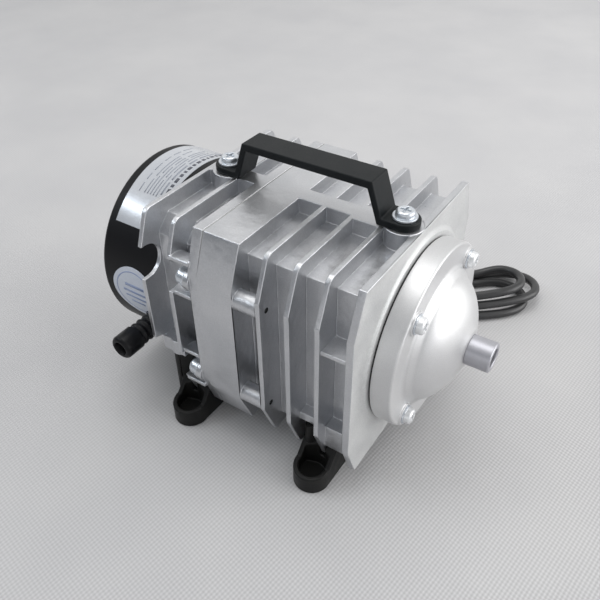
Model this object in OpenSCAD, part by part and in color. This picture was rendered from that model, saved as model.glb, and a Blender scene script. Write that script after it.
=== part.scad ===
// Electromagnetic piston air pump for ponds and aquariums: a finned die-cast housing with a
// round front cover and outlet tube, a motor cap with an inlet nozzle at the back, a carrying
// handle on top and four rubber feet. Millimetres. X runs along the piston axis towards the
// outlet, Y runs across the pump and Z up from the surface that the feet stand on.

/* [Housing] */
// Height of the piston axis above the feet's underside
axis_z = 69.5; // [69:0.1:70]
// Half width of the fins at their sides
fin_hw = 61.7; // [61:0.1:63]
// Half width of the fins along their top edge
fin_top_hw = 52.8; // [50:0.1:54]
// Height of the fins' top edge
fin_top_z = 125.9; // [125:0.1:126.2]
// Height of the fins' bottom edge
fin_bottom_z = 12.6; // [12:0.1:14]
// Height where the fins' sloping shoulders begin
shoulder_z = 103.8; // [102:0.1:106]
// Height where the fins' sloping lower corners begin
skirt_z = 34.8; // [33:0.1:36]
// Thickness of one fin
fin_t = 2.6; // [2:0.1:3.2]
// Distance from one front fin to the next
fin_pitch = 15.8; // [15:0.1:15.8]
// Half width of the box behind the fins
box_hw = 47.4; // [46.5:0.1:48]
// Height of the box's top face
box_top_z = 117.7; // [116.5:0.1:118.5]
// Height of the box's bottom face
box_bottom_z = 21; // [20.5:0.1:21.5]

/* [Front cover] */
// Radius of the round front cover
cover_r = 48.5; // [47:0.1:50]
// Radius of the dome where it rises from the cover
dome_r = 34; // [32:0.5:35]
// Height of the dome above the cover's flat ring
dome_h = 18.5; // [17:0.5:20]
// Outside radius of the outlet tube
tube_r = 7.75; // [7:0.05:8]
// Bore radius of the outlet tube
tube_bore_r = 5; // [4:0.1:5.5]

/* [Motor cap] */
// Outside radius of the motor cap
cap_r = 53.6; // [53:0.1:54.5]
// Wall thickness of the motor cap
cap_wall = 3.1; // [2.5:0.1:3.5]
// Outside radius of the inlet nozzle
nozzle_r = 6.8; // [6.5:0.1:7]
// Bore radius of the inlet nozzle
nozzle_bore_r = 4; // [3:0.1:4.4]

/* [Handle] */
// Height of the handle's top face
handle_top_z = 147.5; // [146:0.5:152]
// Width of the handle
handle_w = 15.2; // [14:0.1:16]
// Distance from the pump's middle to each handle screw
handle_screw_x = 50; // [49.5:0.1:50.5]

/* [Feet] */
// Width of one foot along the pump
foot_w = 19.4; // [18:0.1:20]
// Distance from the pump's middle plane to a foot's outer end
foot_reach = 71.3; // [69:0.1:73]
// Height of a foot's outer rim
foot_rim_h = 11.5; // [10:0.1:13]

/* [Piston] */
// Bore radius of the cylinder liner
bore_r = 17; // [16:0.1:17.5]
// Gap all round between the piston and the liner
piston_gap = 0.3; // [0.25:0.01:0.4]

/* [Cord] */
// Diameter of the mains cord
cord_d = 5.8; // [5.6:0.1:6]

/* [Hidden] */
$fn = 96;

// Stations along the piston axis, from the motor cap's end wall to the outlet
cap_back_x = -103;
seal_back_x = -63.3;
rear_x = -62.7;
flange_back_x = -31.3;
flange_front_x = -25.5;
block_back_x = -24.9;
block_front_x = -4.4;
plate_back_x = 56.1;
plate_front_x = 59.9;
pad_x = 61.4;
cover_back_x = 62.2;
cover_front_x = 72.8;
outlet_x = 103;
dome_end_x = cover_front_x + dome_h - 0.6;
rear_fin_front_x = [-60.1, -41.8];
front_fin_front_x = [for (i = [1 : 3]) block_front_x + i * fin_pitch];

// Lower edge of the fins and the plate
fin_bottom_hw = 52.9;
plate_top_z = 126.4;
fin_corner_r = [3, 3, 2, 4, 5, 5, 4, 2];

// Housing screws: four through the rear flange into the front casting
screw_y = 56.3;
screw_z = [97.5, 36.5];
channel_z = [98, 38.5];
channel_r = 9.3;

// Cavities along the axis
cavity_r = 43;
cavity_front_x = 18;
liner_back_x = 20;
front_wall_x = 49.9;
liner_wall = 3;
port_r = 5;

// Cover screws and motor cap screws
cover_screw_r = 41.6;
cover_screw_at = [45, 135, 225, 315];
cap_screw_r = 46.6;
cap_screw_at = [90, 235, 305];

// Inlet nozzle and cord gland on the motor cap
nozzle_x = -70.6;
nozzle_z = 49.4;
nozzle_end_y = -78.4;
gland_x = -84;
gland_z = 52;
gland_end_y = 77.5;

// Feet, front and rear, seen from above
foot_x = [39.6, -41.9];
foot_inner_y = 36;
foot_screw_y = 42.5;
fin_slot_x = [41.7, -43.1];

// Piston group at rest
piston_back_x = 27;
piston_front_x = 38;
armature_back_x = -37;
armature_front_x = -17;
bearing_x = -52;
rod_r = 5;

// Route of the mains cord from the gland down to the hank behind the pump
lead_points = [
    [-84, 77.5, 52], [-84, 87, 52], [-84, 99, 48.8], [-84, 107.8, 40], [-84, 111, 28],
    [-80.8, 111, 15], [-72, 110.5, 6.2], [-60, 108, 3], [-48, 103.5, 3], [-38, 99, 3],
    [-28, 96, 3], [-18, 95.5, 3]
];
// Route of its free end from the hank to the plug
tail_points = [
    [-26, 77, 13], [-33, 84, 12.4], [-37, 92, 11.9], [-42, 101, 10.6], [-47, 110, 8.6],
    [-51, 118, 6.2], [-55, 126, 4.2], [-59, 134, 3]
];

// Hank of cord behind the pump
hank_mid = [30, 113.5];
hank_turn = 32;
hank_half_run = 44.5;
hank_hw = 26;
hank_h = 20;

// Shortened vector of length 1
function unit(v) = v / norm(v);

// Points of one rounded corner of an outline, at b between a and c
function corner(a, b, c, r, n) =
    let (
        u = unit(a - b),
        v = unit(c - b),
        half = acos(u * v) / 2,
        middle = b + unit(u + v) * r / sin(half),
        start = b + u * r / tan(half),
        end = b + v * r / tan(half)
    )
    [for (i = [0 : n]) middle + r * unit((start - middle) * (n - i) + (end - middle) * i)];

// Outline with every corner rounded to its own radius
function rounded(points, radii, n = 4) =
    let (last = len(points) - 1)
    [for (i = [0 : last])
        each corner(points[i == 0 ? last : i - 1], points[i], points[i == last ? 0 : i + 1], radii[i], n)];

// Outline of a fin across the pump, drawn in [across, up], inset from its full size
function fin_outline(inset = 0, side_inset = 0) = [
    [-fin_bottom_hw + inset, fin_bottom_z + inset], [fin_bottom_hw - inset, fin_bottom_z + inset],
    [fin_hw - inset - side_inset, skirt_z], [fin_hw - inset - side_inset, shoulder_z],
    [fin_top_hw - inset, fin_top_z - inset], [-fin_top_hw + inset, fin_top_z - inset],
    [-fin_hw + inset + side_inset, shoulder_z], [-fin_hw + inset + side_inset, skirt_z]
];

// Outline of the front plate, a little larger than the fins
function plate_outline() = [
    [-53.3, 11.8], [53.3, 11.8], [fin_hw, 33.5], [fin_hw, 104],
    [53.2, plate_top_z], [-53.2, plate_top_z], [-fin_hw, 104], [-fin_hw, 33.5]
];

// Quarter arc of an outline from angle a0 to a1 about a centre
function arc(c, r, a0, a1, n) = [for (i = [0 : n]) c + r * [cos(a0 + (a1 - a0) * i / n), sin(a0 + (a1 - a0) * i / n)]];

// Dome profile in [radius, x]: radius falls from r at the foot as the height h is climbed
function dome_profile(r, h, x0, r_end, n) =
    [for (i = [0 : n]) let (s = i / n, q = pow(1 - pow(s, 1.7), 1 / 1.8)) if (r * q > r_end) [r * q, x0 + h * s]];

// Ring of n points square to the direction d about the point c
function ring(c, d, lead, r, n) =
    let (u = unit(cross(d, lead)), v = cross(u, d))
    [for (k = [0 : n - 1]) c + r * (cos(360 * k / n) * u + sin(360 * k / n) * v)];

// Tube of n sides swept along a list of points; lead is never along the path
module swept_tube(path, r, n, lead) {
    last = len(path) - 1;
    rings = [for (i = [0 : last])
        each ring(path[i], unit(path[min(i + 1, last)] - path[max(i - 1, 0)]), lead, r, n)];
    sides = [for (i = [0 : last - 1], k = [0 : n - 1])
        [i * n + k, i * n + (k + 1) % n, (i + 1) * n + (k + 1) % n, (i + 1) * n + k]];
    start = [[for (k = [n - 1 : -1 : 0]) k]];
    end = [[for (k = [0 : n - 1]) last * n + k]];
    polyhedron(points = rings, faces = concat(start, sides, end));
}

// Flat outline in [across, up] made solid from x0 for a length along X
module along_x(x0, length) {
    translate([x0, 0, 0])
        rotate([90, 0, 90])
            linear_extrude(length)
                children();
}

// Flat outline in [along, up] made solid across the pump's middle plane
module across_y(width) {
    translate([0, width / 2, 0])
        rotate([90, 0, 0])
            linear_extrude(width)
                children();
}

// Round bar along X from x0 to x1
module rod_x(x0, x1, r, y = 0, z = axis_z) {
    translate([x0, y, z])
        rotate([0, 90, 0])
            cylinder(h = x1 - x0, r = r);
}

// Round bar along Y from y0 to y1
module rod_y(y0, y1, r, x, z) {
    translate([x, y1, z])
        rotate([90, 0, 0])
            cylinder(h = y1 - y0, r = r);
}

// Tube along X
module tube_x(x0, x1, r_out, r_in) {
    difference() {
        rod_x(x0, x1, r_out);
        rod_x(x0 - 1, x1 + 1, r_in);
    }
}

// Solid turned about the piston axis from an outline in [radius, x]
module turned_x(outline) {
    translate([0, 0, axis_z])
        rotate([0, 90, 0])
            rotate_extrude()
                polygon(outline);
}

// Copies of the children at each angle on a circle about the piston axis
module around_axis(radius, angles) {
    for (a = angles)
        translate([0, radius * cos(a), axis_z + radius * sin(a)])
            children();
}

// The children and their mirror image on the far side
module both_sides() {
    children();
    mirror([0, 1, 0]) children();
}

// The flat outline in [across, up] and its mirror image on the far side
module both_outlines() {
    children();
    mirror([1, 0]) children();
}

// Cross recess of a screw head, cut along Z down from the origin
module cross_recess(size) {
    for (turn = [0, 90])
        rotate([0, 0, turn])
            translate([-size, -size * 0.22, -size * 0.55])
                cube([2 * size, size * 0.44, size]);
}

// Screw standing on the origin, head up: a washer-faced round head with a cross recess
module screw(head_r, head_h, flange_r, flange_h, shank_r, shank_l) {
    difference() {
        rotate_extrude()
            polygon(concat(
                [[0, -shank_l], [shank_r, -shank_l], [shank_r, 0], [flange_r, 0], [flange_r, flange_h], [head_r, flange_h]],
                arc([head_r - head_h * 0.5, head_h * 0.5 + flange_h], head_h * 0.5, 0, 90, 4),
                [[0, head_h + flange_h]]));
        translate([0, 0, head_h + flange_h]) cross_recess(head_r * 0.58);
    }
}

// Round screw channel in the rear fins, open to the side
module channel_cut(z) {
    both_outlines() {
        translate([screw_y + 1.2, z]) circle(r = channel_r);
        translate([screw_y + 1.2, z - channel_r]) square([20, 2 * channel_r]);
    }
}

// Rear fin: cut for the screw channels; the rearmost one ends in the cap's circle below
module rear_fin(front_x, short) {
    along_x(front_x - fin_t, fin_t)
        union() {
            difference() {
                polygon(rounded(fin_outline(), fin_corner_r));
                channel_cut(channel_z[0]);
                if (!short) channel_cut(channel_z[1]);
                if (short) both_outlines() polygon([[46, 0], [46, 44.6], [63, 50.4], [63, 0]]);
                if (short) translate([-60, 0]) square([120, 21]);
            }
            if (short) translate([0, axis_z]) circle(r = cap_r - 0.8);
        }
}

module front_casting() {
    color("silver")
        difference() {
            union() {
                along_x(block_back_x, block_front_x - block_back_x) polygon(fin_outline());
                for (x = front_fin_front_x)
                    along_x(x - fin_t, fin_t) polygon(rounded(fin_outline(), fin_corner_r));
                along_x(plate_back_x, plate_front_x - plate_back_x) polygon(plate_outline());
                along_x(block_front_x - 1, plate_back_x - block_front_x + 2)
                    translate([-box_hw, box_bottom_z]) square([2 * box_hw, box_top_z - box_bottom_z]);
                turned_x([[0, plate_front_x - 1], [53.6, plate_front_x - 1], [53.6, plate_front_x],
                    [52, plate_front_x + 0.5], [51, pad_x], [0, pad_x]]);
                translate([block_front_x - 1, -5, box_top_z - 1])
                    cube([plate_back_x - block_front_x + 2, 10, fin_top_z - box_top_z + 1]);
                translate([front_fin_front_x[1] - 1, -7.2, box_top_z - 1])
                    cube([fin_pitch, 14.4, fin_top_z - box_top_z + 1]);
                translate([handle_screw_x, 0, box_top_z - 1]) cylinder(h = 9.9, r = 9.4);
                both_sides() {
                    for (z = screw_z) rod_x(block_front_x - 1, front_fin_front_x[0] - 1, 5.3, -screw_y, z);
                    translate([front_fin_front_x[2] - 1, -60, 88.6]) cube([plate_back_x - 40, 14, 2.4]);
                    translate([front_fin_front_x[2] - 1, -55, 22]) cube([plate_back_x - 40, 9, 14.5]);
                    translate([front_fin_front_x[1] - 1, -53.5, 31.2]) cube([fin_pitch - 1, 7, 5]);
                }
            }
            rod_x(block_back_x - 1, cavity_front_x, cavity_r);
            rod_x(cavity_front_x - 1, front_wall_x, bore_r + liner_wall);
            rod_x(front_wall_x - 1, pad_x + 1, port_r);
            both_sides()
                for (z = screw_z) {
                    rod_x(block_back_x - 1, 6, 2.5, -screw_y, z);
                    rod_x(front_fin_front_x[0] - 0.6, front_fin_front_x[0] + 1, 1.5, -screw_y, z);
                }
            around_axis(cover_screw_r, cover_screw_at) rod_x(51, pad_x + 1, 2, 0, 0);
            translate([handle_screw_x, 0, 112]) cylinder(h = 20, r = 2.4);
            both_sides()
                translate([foot_x[0], -foot_screw_y, fin_bottom_z - 2]) cylinder(h = 22, r = 2.1);
        }
}

module rear_casting() {
    color("silver")
        difference() {
            union() {
                rear_fin(rear_fin_front_x[0], true);
                rear_fin(rear_fin_front_x[1], false);
                along_x(flange_back_x, flange_front_x - flange_back_x) polygon(fin_outline(0, 1.2));
                along_x(rear_x, flange_back_x - rear_x + 1)
                    intersection() {
                        translate([-box_hw, box_bottom_z]) square([2 * box_hw, box_top_z - box_bottom_z]);
                        translate([0, axis_z]) circle(r = 62);
                    }
                translate([rear_x, -5, box_top_z - 1])
                    cube([flange_back_x - rear_x + 1, 10, fin_top_z - box_top_z + 1]);
                translate([-handle_screw_x, 0, box_top_z - 1]) cylinder(h = 9.9, r = 9.4);
                both_sides() {
                    for (z = channel_z)
                        along_x(rear_fin_front_x[1] - 1, flange_back_x - rear_fin_front_x[1] + 2)
                            screw_channel(z);
                    for (z = screw_z) rod_x(flange_back_x - 2.7, flange_back_x + 1, 6, -screw_y, z);
                    translate([-52, -51.5, 38.3]) cylinder(h = 9.5, r = 5.6);
                    translate([rear_fin_front_x[0] - 1, -56, 38.3]) cube([15, 10, 9.5]);
                }
            }
            rod_x(rear_x - 1, flange_front_x + 1, cavity_r);
            both_sides()
                for (z = screw_z) rod_x(flange_back_x - 4, flange_front_x + 1, 2.5, -screw_y, z);
            around_axis(cap_screw_r, cap_screw_at) rod_x(rear_x - 1, -54, 1.6, 0, 0);
            translate([-handle_screw_x, 0, 112]) cylinder(h = 20, r = 2.4);
            both_sides()
                translate([foot_x[1], -foot_screw_y, fin_bottom_z - 2]) cylinder(h = 22, r = 2.1);
        }
}

// Arched roof and floor of a screw channel between the second rear fin and the flange
module screw_channel(z) {
    intersection() {
        difference() {
            translate([-screw_y - 1.2, z]) circle(r = channel_r + 2.4);
            translate([-screw_y - 1.2, z]) circle(r = channel_r);
            translate([-80, z - channel_r]) square([80 - screw_y - 1.2, 2 * channel_r]);
        }
        translate([-60, z - 20]) square([14, 40]);
    }
}

module housing_gasket() {
    color("dimgray")
        difference() {
            along_x(flange_front_x, block_back_x - flange_front_x) polygon(fin_outline(0.3, 1.2));
            rod_x(flange_front_x - 1, block_back_x + 1, cavity_r);
            both_sides()
                for (z = screw_z) rod_x(flange_front_x - 1, block_back_x + 1, 2.8, -screw_y, z);
        }
}

module housing_screws() {
    color("gainsboro")
        both_sides()
            for (z = screw_z)
                translate([flange_back_x - 2.7, -screw_y, z])
                    rotate([0, -90, 0])
                        screw(4.7, 5.4, 5.6, 1.3, 2.5, 38);
}

module front_gasket() {
    color("dimgray")
        difference() {
            tube_x(pad_x, cover_back_x, cover_r - 0.7, 30.8);
            around_axis(cover_screw_r, cover_screw_at) rod_x(pad_x - 1, cover_back_x + 1, 2.3, 0, 0);
        }
}

module front_cover() {
    outside = concat(
        [[0, cover_back_x], [cover_r, cover_back_x]],
        arc([cover_r - 1.2, cover_front_x - 1.2], 1.2, 0, 90, 4),
        arc([dome_r + 4, cover_front_x + 3], 3, 270, 205, 4),
        [for (p = dome_profile(dome_r, dome_h, cover_front_x, tube_r + 2, 18)) if (p[1] > cover_front_x + 2.2) p],
        [[tube_r + 1.6, dome_end_x], [0, dome_end_x]]);
    color("gainsboro")
        difference() {
            union() {
                turned_x(outside);
                around_axis(cover_screw_r, cover_screw_at) rod_x(cover_front_x - 1, cover_front_x + 1, 6, 0, 0);
            }
            rod_x(cover_back_x - 1, cover_front_x + 1, dome_r - 4);
            turned_x(concat(
                [[0, cover_front_x]],
                dome_profile(dome_r - 4, dome_h - 4, cover_front_x, tube_r + 1, 12),
                [[0, dome_end_x - 4]]));
            rod_x(cover_front_x, outlet_x, tube_r - 0.4);
            around_axis(cover_screw_r, cover_screw_at) rod_x(cover_back_x - 1, cover_front_x + 3, 2.3, 0, 0);
        }
}

module cover_screws() {
    color("gainsboro")
        around_axis(cover_screw_r, cover_screw_at)
            translate([cover_front_x + 1.8, 0, 0])
                rotate([0, 90, 0])
                    screw(4.2, 3, 4.4, 0.2, 2, 22);
}

module cover_washers() {
    color("gainsboro")
        around_axis(cover_screw_r, cover_screw_at)
            difference() {
                rod_x(cover_front_x + 1, cover_front_x + 1.8, 5, 0, 0);
                rod_x(cover_front_x, cover_front_x + 3, 2.3, 0, 0);
            }
}

module outlet_tube() {
    color("gainsboro")
        turned_x([[tube_bore_r, 84], [tube_r - 0.4, 84], [tube_r - 0.4, dome_end_x], [tube_r, dome_end_x],
            [tube_r, outlet_x - 0.6], [tube_r - 0.6, outlet_x], [tube_bore_r + 0.4, outlet_x],
            [tube_bore_r, outlet_x - 0.4]]);
}

module rear_cap() {
    color([0.07, 0.07, 0.08])
        difference() {
            union() {
                turned_x(concat(
                    [[0, cap_back_x]],
                    arc([cap_r - 3, cap_back_x + 3], 3, 270, 360, 5),
                    [[cap_r, seal_back_x], [cap_r - cap_wall, seal_back_x],
                        [cap_r - cap_wall, cap_back_x + 3], [0, cap_back_x + 3]]));
                around_axis(cap_screw_r, cap_screw_at) rod_x(cap_back_x + 1, seal_back_x, 3.6, 0, 0);
            }
            rod_y(-60, -40, 5.2, nozzle_x, nozzle_z);
            rod_y(40, 60, 5.4, gland_x, gland_z);
            around_axis(cap_screw_r, cap_screw_at) {
                rod_x(cap_back_x - 1, seal_back_x + 1, 1.9, 0, 0);
                rod_x(cap_back_x - 1, cap_back_x + 2.2, 3.9, 0, 0);
            }
        }
}

module cap_seal() {
    color("black")
        difference() {
            tube_x(seal_back_x, rear_x, cap_r - 0.4, cap_r - 9);
            around_axis(cap_screw_r, cap_screw_at) rod_x(seal_back_x - 1, rear_x + 1, 1.9, 0, 0);
        }
}

module cap_screws() {
    color("gainsboro")
        around_axis(cap_screw_r, cap_screw_at)
            translate([cap_back_x + 2.2, 0, 0])
                rotate([0, -90, 0])
                    screw(3.2, 1.8, 3.4, 0.2, 1.6, 46);
}

// Thin skin on the motor cap from x0 to x1, between two angles up from the near side
module cap_skin(x0, x1, a0, a1) {
    translate([0, 0, axis_z])
        rotate([0, 90, 0])
            rotate([0, 0, 90 - a1 + 180])
                rotate_extrude(angle = a1 - a0)
                    translate([cap_r, x0])
                        square([0.25, x1 - x0]);
}

module rating_label() {
    color("lightgray")
        cap_skin(-96.4, -69.7, 37.6, 140);
}

module round_sticker() {
    color("whitesmoke")
        difference() {
            intersection() {
                cap_skin(-97, -63.4, -40, 36);
                rod_y(-60, -20, 16.2, -79.4, axis_z - 2.8);
            }
            rod_y(-60, -20, nozzle_r + 0.5, nozzle_x, nozzle_z);
        }
}

module intake_nozzle() {
    color([0.05, 0.05, 0.06])
        difference() {
            union() {
                difference() {
                    translate([nozzle_x, 0, nozzle_z])
                        rotate([90, 0, 0])
                            rotate_extrude()
                                polygon(concat(
                                    [[0, 46], [nozzle_r, 46]],
                                    [for (y = [53 : 4.8 : 63]) each [[nozzle_r, y], [nozzle_r - 0.5, y + 0.8],
                                        [nozzle_r - 0.5, y + 1.8], [nozzle_r, y + 2.6]]],
                                    arc([nozzle_r - 2, -nozzle_end_y - 2], 2, 0, 90, 4),
                                    [[0, -nozzle_end_y]]));
                    rod_x(cap_back_x, rear_x, cap_r);
                }
                rod_y(-54, -39.5, 5.2, nozzle_x, nozzle_z);
            }
            rod_y(-80, -39, nozzle_bore_r, nozzle_x, nozzle_z);
        }
}

module intake_filter() {
    color("khaki")
        difference() {
            rod_y(-42, -33, 7.4, nozzle_x, nozzle_z);
            rod_y(-43, -36, 5.2, nozzle_x, nozzle_z);
        }
}

module handle() {
    half = [
        [handle_screw_x, 126.6], [handle_screw_x, 130.4], [41.5, 130.4], [35.9, handle_top_z]
    ];
    inner = [[33.7, handle_top_z - 4], [39.4, 126.6]];
    outline = concat(
        [for (p = half) p],
        [for (i = [3 : -1 : 0]) [-half[i][0], half[i][1]]],
        [for (i = [1 : -1 : 0]) [-inner[i][0], inner[i][1]]],
        inner);
    color([0.08, 0.08, 0.09])
        difference() {
            union() {
                across_y(handle_w) polygon(outline);
                for (x = [-handle_screw_x, handle_screw_x])
                    translate([x, 0, 126.6]) cylinder(h = 3.8, r = handle_w / 2);
            }
            for (x = [-handle_screw_x, handle_screw_x])
                translate([x, 0, 120]) cylinder(h = 20, r = 2.7);
        }
}

module handle_screws() {
    color("gainsboro")
        for (x = [-handle_screw_x, handle_screw_x])
            translate([x, 0, 130.4])
                screw(4.6, 2.9, 6, 1.2, 2.4, 17);
}

// One rubber foot on the near side: a rim round a sunken pocket, a block under the housing
// and a hub that rises behind the fin and stops under the casting's lug
module foot(x, hub_x0, hub_x1, hub_top, slot_x) {
    hw = foot_w / 2;
    color([0.06, 0.06, 0.07])
        difference() {
            union() {
                intersection() {
                    linear_extrude(30) {
                        translate([x, -foot_reach + hw]) circle(r = hw);
                        translate([x - hw, -foot_reach + hw]) square([foot_w, foot_reach - hw - foot_inner_y]);
                    }
                    along_x(x - hw - 1, foot_w + 2)
                        polygon([[-foot_inner_y, 0], [-foot_inner_y, box_bottom_z], [-53.6, box_bottom_z],
                            [-61, foot_rim_h + 0.7], [-foot_reach, foot_rim_h - 1], [-foot_reach, 0]]);
                }
                hull() {
                    translate([hub_x0 + 4, -51.5, 6]) cylinder(h = hub_top - 7, r = 4);
                    translate([hub_x0 + 5, -51.5, 6]) cylinder(h = hub_top - 6, r = 3.4);
                    translate([hub_x1 - 4, -box_hw - 4.2, 6]) cube([4, 4, hub_top - 6.2]);
                    translate([hub_x0, -box_hw - 4.2, 6]) cube([4, 4, hub_top - 6.2]);
                }
            }
            hull() {
                translate([x, -foot_reach + hw, foot_rim_h - 6.5]) cylinder(h = 20, r = hw - 2.7);
                translate([x - hw + 2.7, -57.6, foot_rim_h - 6.5]) cube([foot_w - 5.4, 1, 20]);
            }
            translate([slot_x - 1.6, -80, 12.2]) cube([3.2, 60, 40]);
            translate([x, -foot_screw_y, -1]) cylinder(h = 30, r = 2.2);
            translate([x, -foot_screw_y, -1]) cylinder(h = 9, r = 5);
        }
}

module foot_front_near() {
    foot(foot_x[0], 29.9, 40.1, 31, fin_slot_x[0]);
}

module foot_front_far() {
    mirror([0, 1, 0]) foot_front_near();
}

module foot_rear_near() {
    foot(foot_x[1], -57.4, -44.7, 38, fin_slot_x[1]);
}

module foot_rear_far() {
    mirror([0, 1, 0]) foot_rear_near();
}

module foot_screws() {
    color("gainsboro")
        both_sides()
            for (x = foot_x)
                translate([x, -foot_screw_y, 8])
                    rotate([180, 0, 0])
                        screw(3.6, 2.2, 4.4, 0.8, 2, 23);
}

module cylinder_liner() {
    color("lightsteelblue")
        tube_x(liner_back_x, front_wall_x, bore_r + liner_wall, bore_r);
}

// Cage that keeps the outlet valve and its spring over the outlet port
module valve_cage() {
    color("darkgray")
        difference() {
            union() {
                tube_x(pad_x, 70, 13.4, 12);
                rod_x(69, 70.6, 13.4);
            }
            rod_x(68, 72, 4);
            for (turn = [0 : 60 : 120])
                translate([pad_x + 1.6, 0, axis_z])
                    rotate([turn, 0, 0])
                        translate([0, -20, -3])
                            cube([5, 40, 6]);
        }
}

module outlet_valve() {
    color("dimgray")
        turned_x([[0, pad_x + 0.1], [10.8, pad_x + 0.1], [10.8, pad_x + 1.5], [3.4, pad_x + 1.5],
            [3.4, pad_x + 2.3], [0, pad_x + 2.3]]);
}

// Wire coil about the piston axis from x0 to x1
module spring_x(x0, x1, r, wire_r, turns) {
    steps = 12;
    path = [for (i = [0 : turns * steps])
        [x0 + wire_r + (x1 - x0 - 2 * wire_r) * i / (turns * steps),
            r * cos(360 * i / steps), axis_z + r * sin(360 * i / steps)]];
    swept_tube(path, wire_r, 8, [1, 0, 0]);
}

module outlet_valve_spring() {
    color("silver")
        spring_x(pad_x + 1.6, 68.9, 5.6, 0.5, 3);
}

// Laminated motor core: a back ring with three pole rings that face the armature
module stator_core() {
    color("slategray") {
        turned_x([[24, -52], [42.8, -52], [42.8, -2], [24, -2], [24, -7], [38.5, -7], [38.5, -24.5],
            [24, -24.5], [24, -29.5], [38.5, -29.5], [38.5, -47], [24, -47]]);
    }
}

// Copper winding between the cheeks of its bobbin
module coil(x0, x1) {
    color("chocolate")
        tube_x(x0, x1, 37.6, 26);
}

module coil_front() {
    coil(-23.3, -8.2);
}

module coil_rear() {
    coil(-45.8, -30.7);
}

// Two plastic bobbins, one for each winding
module coil_bobbins() {
    color("ivory")
        for (x = [-46.9, -24.4])
            turned_x([[24.4, x], [38.2, x], [38.2, x + 1], [25.8, x + 1], [25.8, x + 16.3],
                [38.2, x + 16.3], [38.2, x + 17.3], [24.4, x + 17.3]]);
}

// Plate behind the motor core that carries the rod's bush, open for the air
module bearing_plate() {
    color("gray")
        difference() {
            rod_x(bearing_x - 4, bearing_x, 42.9);
            rod_x(bearing_x - 5, bearing_x + 1, 9);
            for (turn = [0 : 60 : 300])
                translate([bearing_x - 5, 0, axis_z])
                    rotate([turn, 0, 0])
                        translate([0, 29, 0])
                            rotate([0, 90, 0])
                                cylinder(h = 6, r = 8);
        }
}

module guide_bush() {
    color("darkgoldenrod")
        tube_x(bearing_x - 8, bearing_x + 1, 9, rod_r + 0.3);
}

module piston() {
    color("lightsteelblue")
        difference() {
            turned_x([[rod_r, piston_back_x], [16.7, piston_back_x], [16.7, 34], [15.6, 34], [15.6, 36],
                [16.7, 36], [16.7, piston_front_x], [3, piston_front_x], [3, piston_front_x - 2],
                [rod_r, piston_front_x - 2]]);
            around_axis(9.5, [0 : 60 : 300]) rod_x(piston_back_x - 1, piston_front_x + 1, 2.2, 0, 0);
        }
}

module piston_ring() {
    color("black")
        tube_x(34.1, 35.9, bore_r - piston_gap, 15.6);
}

module piston_rod() {
    color("silver")
        turned_x([[0, -68], [rod_r - 0.6, -68], [rod_r, -67.4], [rod_r, piston_front_x - 2],
            [3, piston_front_x - 2], [3, piston_front_x + 3.2], [0, piston_front_x + 3.2]]);
}

module armature() {
    color("dimgray")
        tube_x(armature_back_x, armature_front_x, 22.8, rod_r);
}

module valve_stop() {
    color("silver")
        tube_x(piston_front_x + 2.4, piston_front_x + 3.2, 5.6, 3);
}

module inlet_valve() {
    color("saddlebrown")
        tube_x(piston_front_x + 0.1, piston_front_x + 1.1, 13.2, 3.3);
}

module front_spring() {
    color("silver")
        spring_x(armature_front_x, liner_back_x, 18.5, 1.1, 7);
}

module rear_spring() {
    color("silver")
        spring_x(bearing_x, armature_back_x, 15, 1.1, 3);
}

module terminal_block() {
    color("ivory")
        difference() {
            translate([cap_back_x + 3, 8, 58]) cube([14, 24, 14]);
            for (y = [14, 26])
                rod_x(cap_back_x + 8, cap_back_x + 20, 2.6, y, 65);
        }
}

// Gland in the cap's far side with a tapered sleeve round the cord
module cord_gland() {
    color([0.05, 0.05, 0.06])
        translate([gland_x, 0, gland_z])
            rotate([-90, 0, 0])
                rotate_extrude()
                    polygon([[cord_d / 2, 40.4], [8, 40.4], [8, 43.2], [5.4, 43.2], [5.4, 53], [8, 53],
                        [8, 55.4], [5.8, 55.4], [4, gland_end_y], [cord_d / 2, gland_end_y]]);
}

module cord_lead() {
    color([0.04, 0.04, 0.05])
        swept_tube(lead_points, cord_d / 2, 10, [-1, 1, 1]);
}

// Outline of the hank seen from above, grown by a margin
module hank_outline(margin = 0) {
    for (end = [-1, 1])
        translate([end * hank_half_run, 0]) circle(r = hank_hw + margin);
    translate([-hank_half_run, -hank_hw - margin])
        square([2 * hank_half_run, 2 * (hank_hw + margin)]);
}

module cord_hank() {
    color([0.04, 0.04, 0.05])
        translate([hank_mid[0], hank_mid[1], 0])
            rotate([0, 0, hank_turn])
                linear_extrude(hank_h)
                    hank_outline();
}

module cord_tail() {
    color([0.04, 0.04, 0.05])
        swept_tube(tail_points, cord_d / 2, 10, [-1, 1, 1]);
}

// Strap round the middle of the hank
module cord_tie() {
    color("black")
        translate([hank_mid[0], hank_mid[1], 0])
            rotate([0, 0, hank_turn])
                difference() {
                    translate([-5, -hank_hw - 1.2, 0]) cube([10, 2 * hank_hw + 2.4, hank_h + 1.2]);
                    translate([-6, -hank_hw, -1]) cube([12, 2 * hank_hw, hank_h + 1]);
                }
}

// Flat two-pin plug lying on the surface, pins away from the cord
module mains_plug() {
    color([0.04, 0.04, 0.05])
        translate([-59, 134, 0])
            rotate([0, 0, 118])
                union() {
                    translate([0, -4, 0]) cube([12, 8, 8]);
                    translate([10, -9, 0]) cube([22, 18, 13]);
                }
}

module plug_pins() {
    color("silver")
        translate([-59, 134, 0])
            rotate([0, 0, 118])
                for (y = [-6.2, 6.2])
                    translate([32, y - 0.8, 3.3]) cube([16, 1.6, 6.4]);
}

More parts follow.
